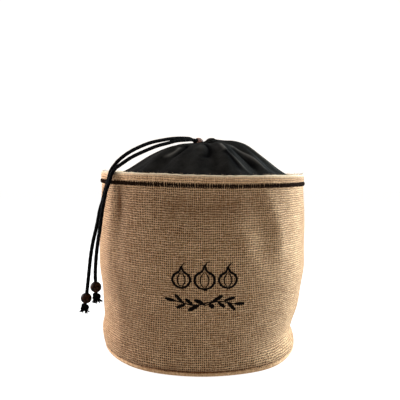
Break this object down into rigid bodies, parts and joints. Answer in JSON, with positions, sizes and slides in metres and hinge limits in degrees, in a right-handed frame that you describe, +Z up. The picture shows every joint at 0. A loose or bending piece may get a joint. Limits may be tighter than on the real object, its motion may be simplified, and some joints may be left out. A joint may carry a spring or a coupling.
{
  "type": "drawstring onion storage bag",
  "caption": "Round woven jute bag with a folded rim and a flat sewn base, closed by a gathered dark cotton cover with a drawstring whose beaded ends hang over the side.",
  "frame": {"origin": "middle of the flat underside of the base, where the bag stands", "axes": "+Z up, -Y towards the printed front, +X to the viewer's right"},
  "size_m": [0.2592, 0.2464, 0.2501],
  "materials": {
    "jute": "coarse plain-woven jute, dry and fibrous",
    "cotton": "smooth matt cotton, black",
    "cord": "tight round braid, black",
    "wood": "dark brown stained wood, satin"
  },
  "bodies": {
    "root": {"jute_side": "jute", "jute_base": "jute", "base_welt": "jute", "cotton_cover": "cotton", "slider_bead": "wood", "cord_outer": "cord", "end_bead_outer": "wood", "end_knot_outer": "cord", "cord_inner": "cord", "end_bead_inner": "wood", "end_knot_inner": "cord"}
  },
  "joints": []
}
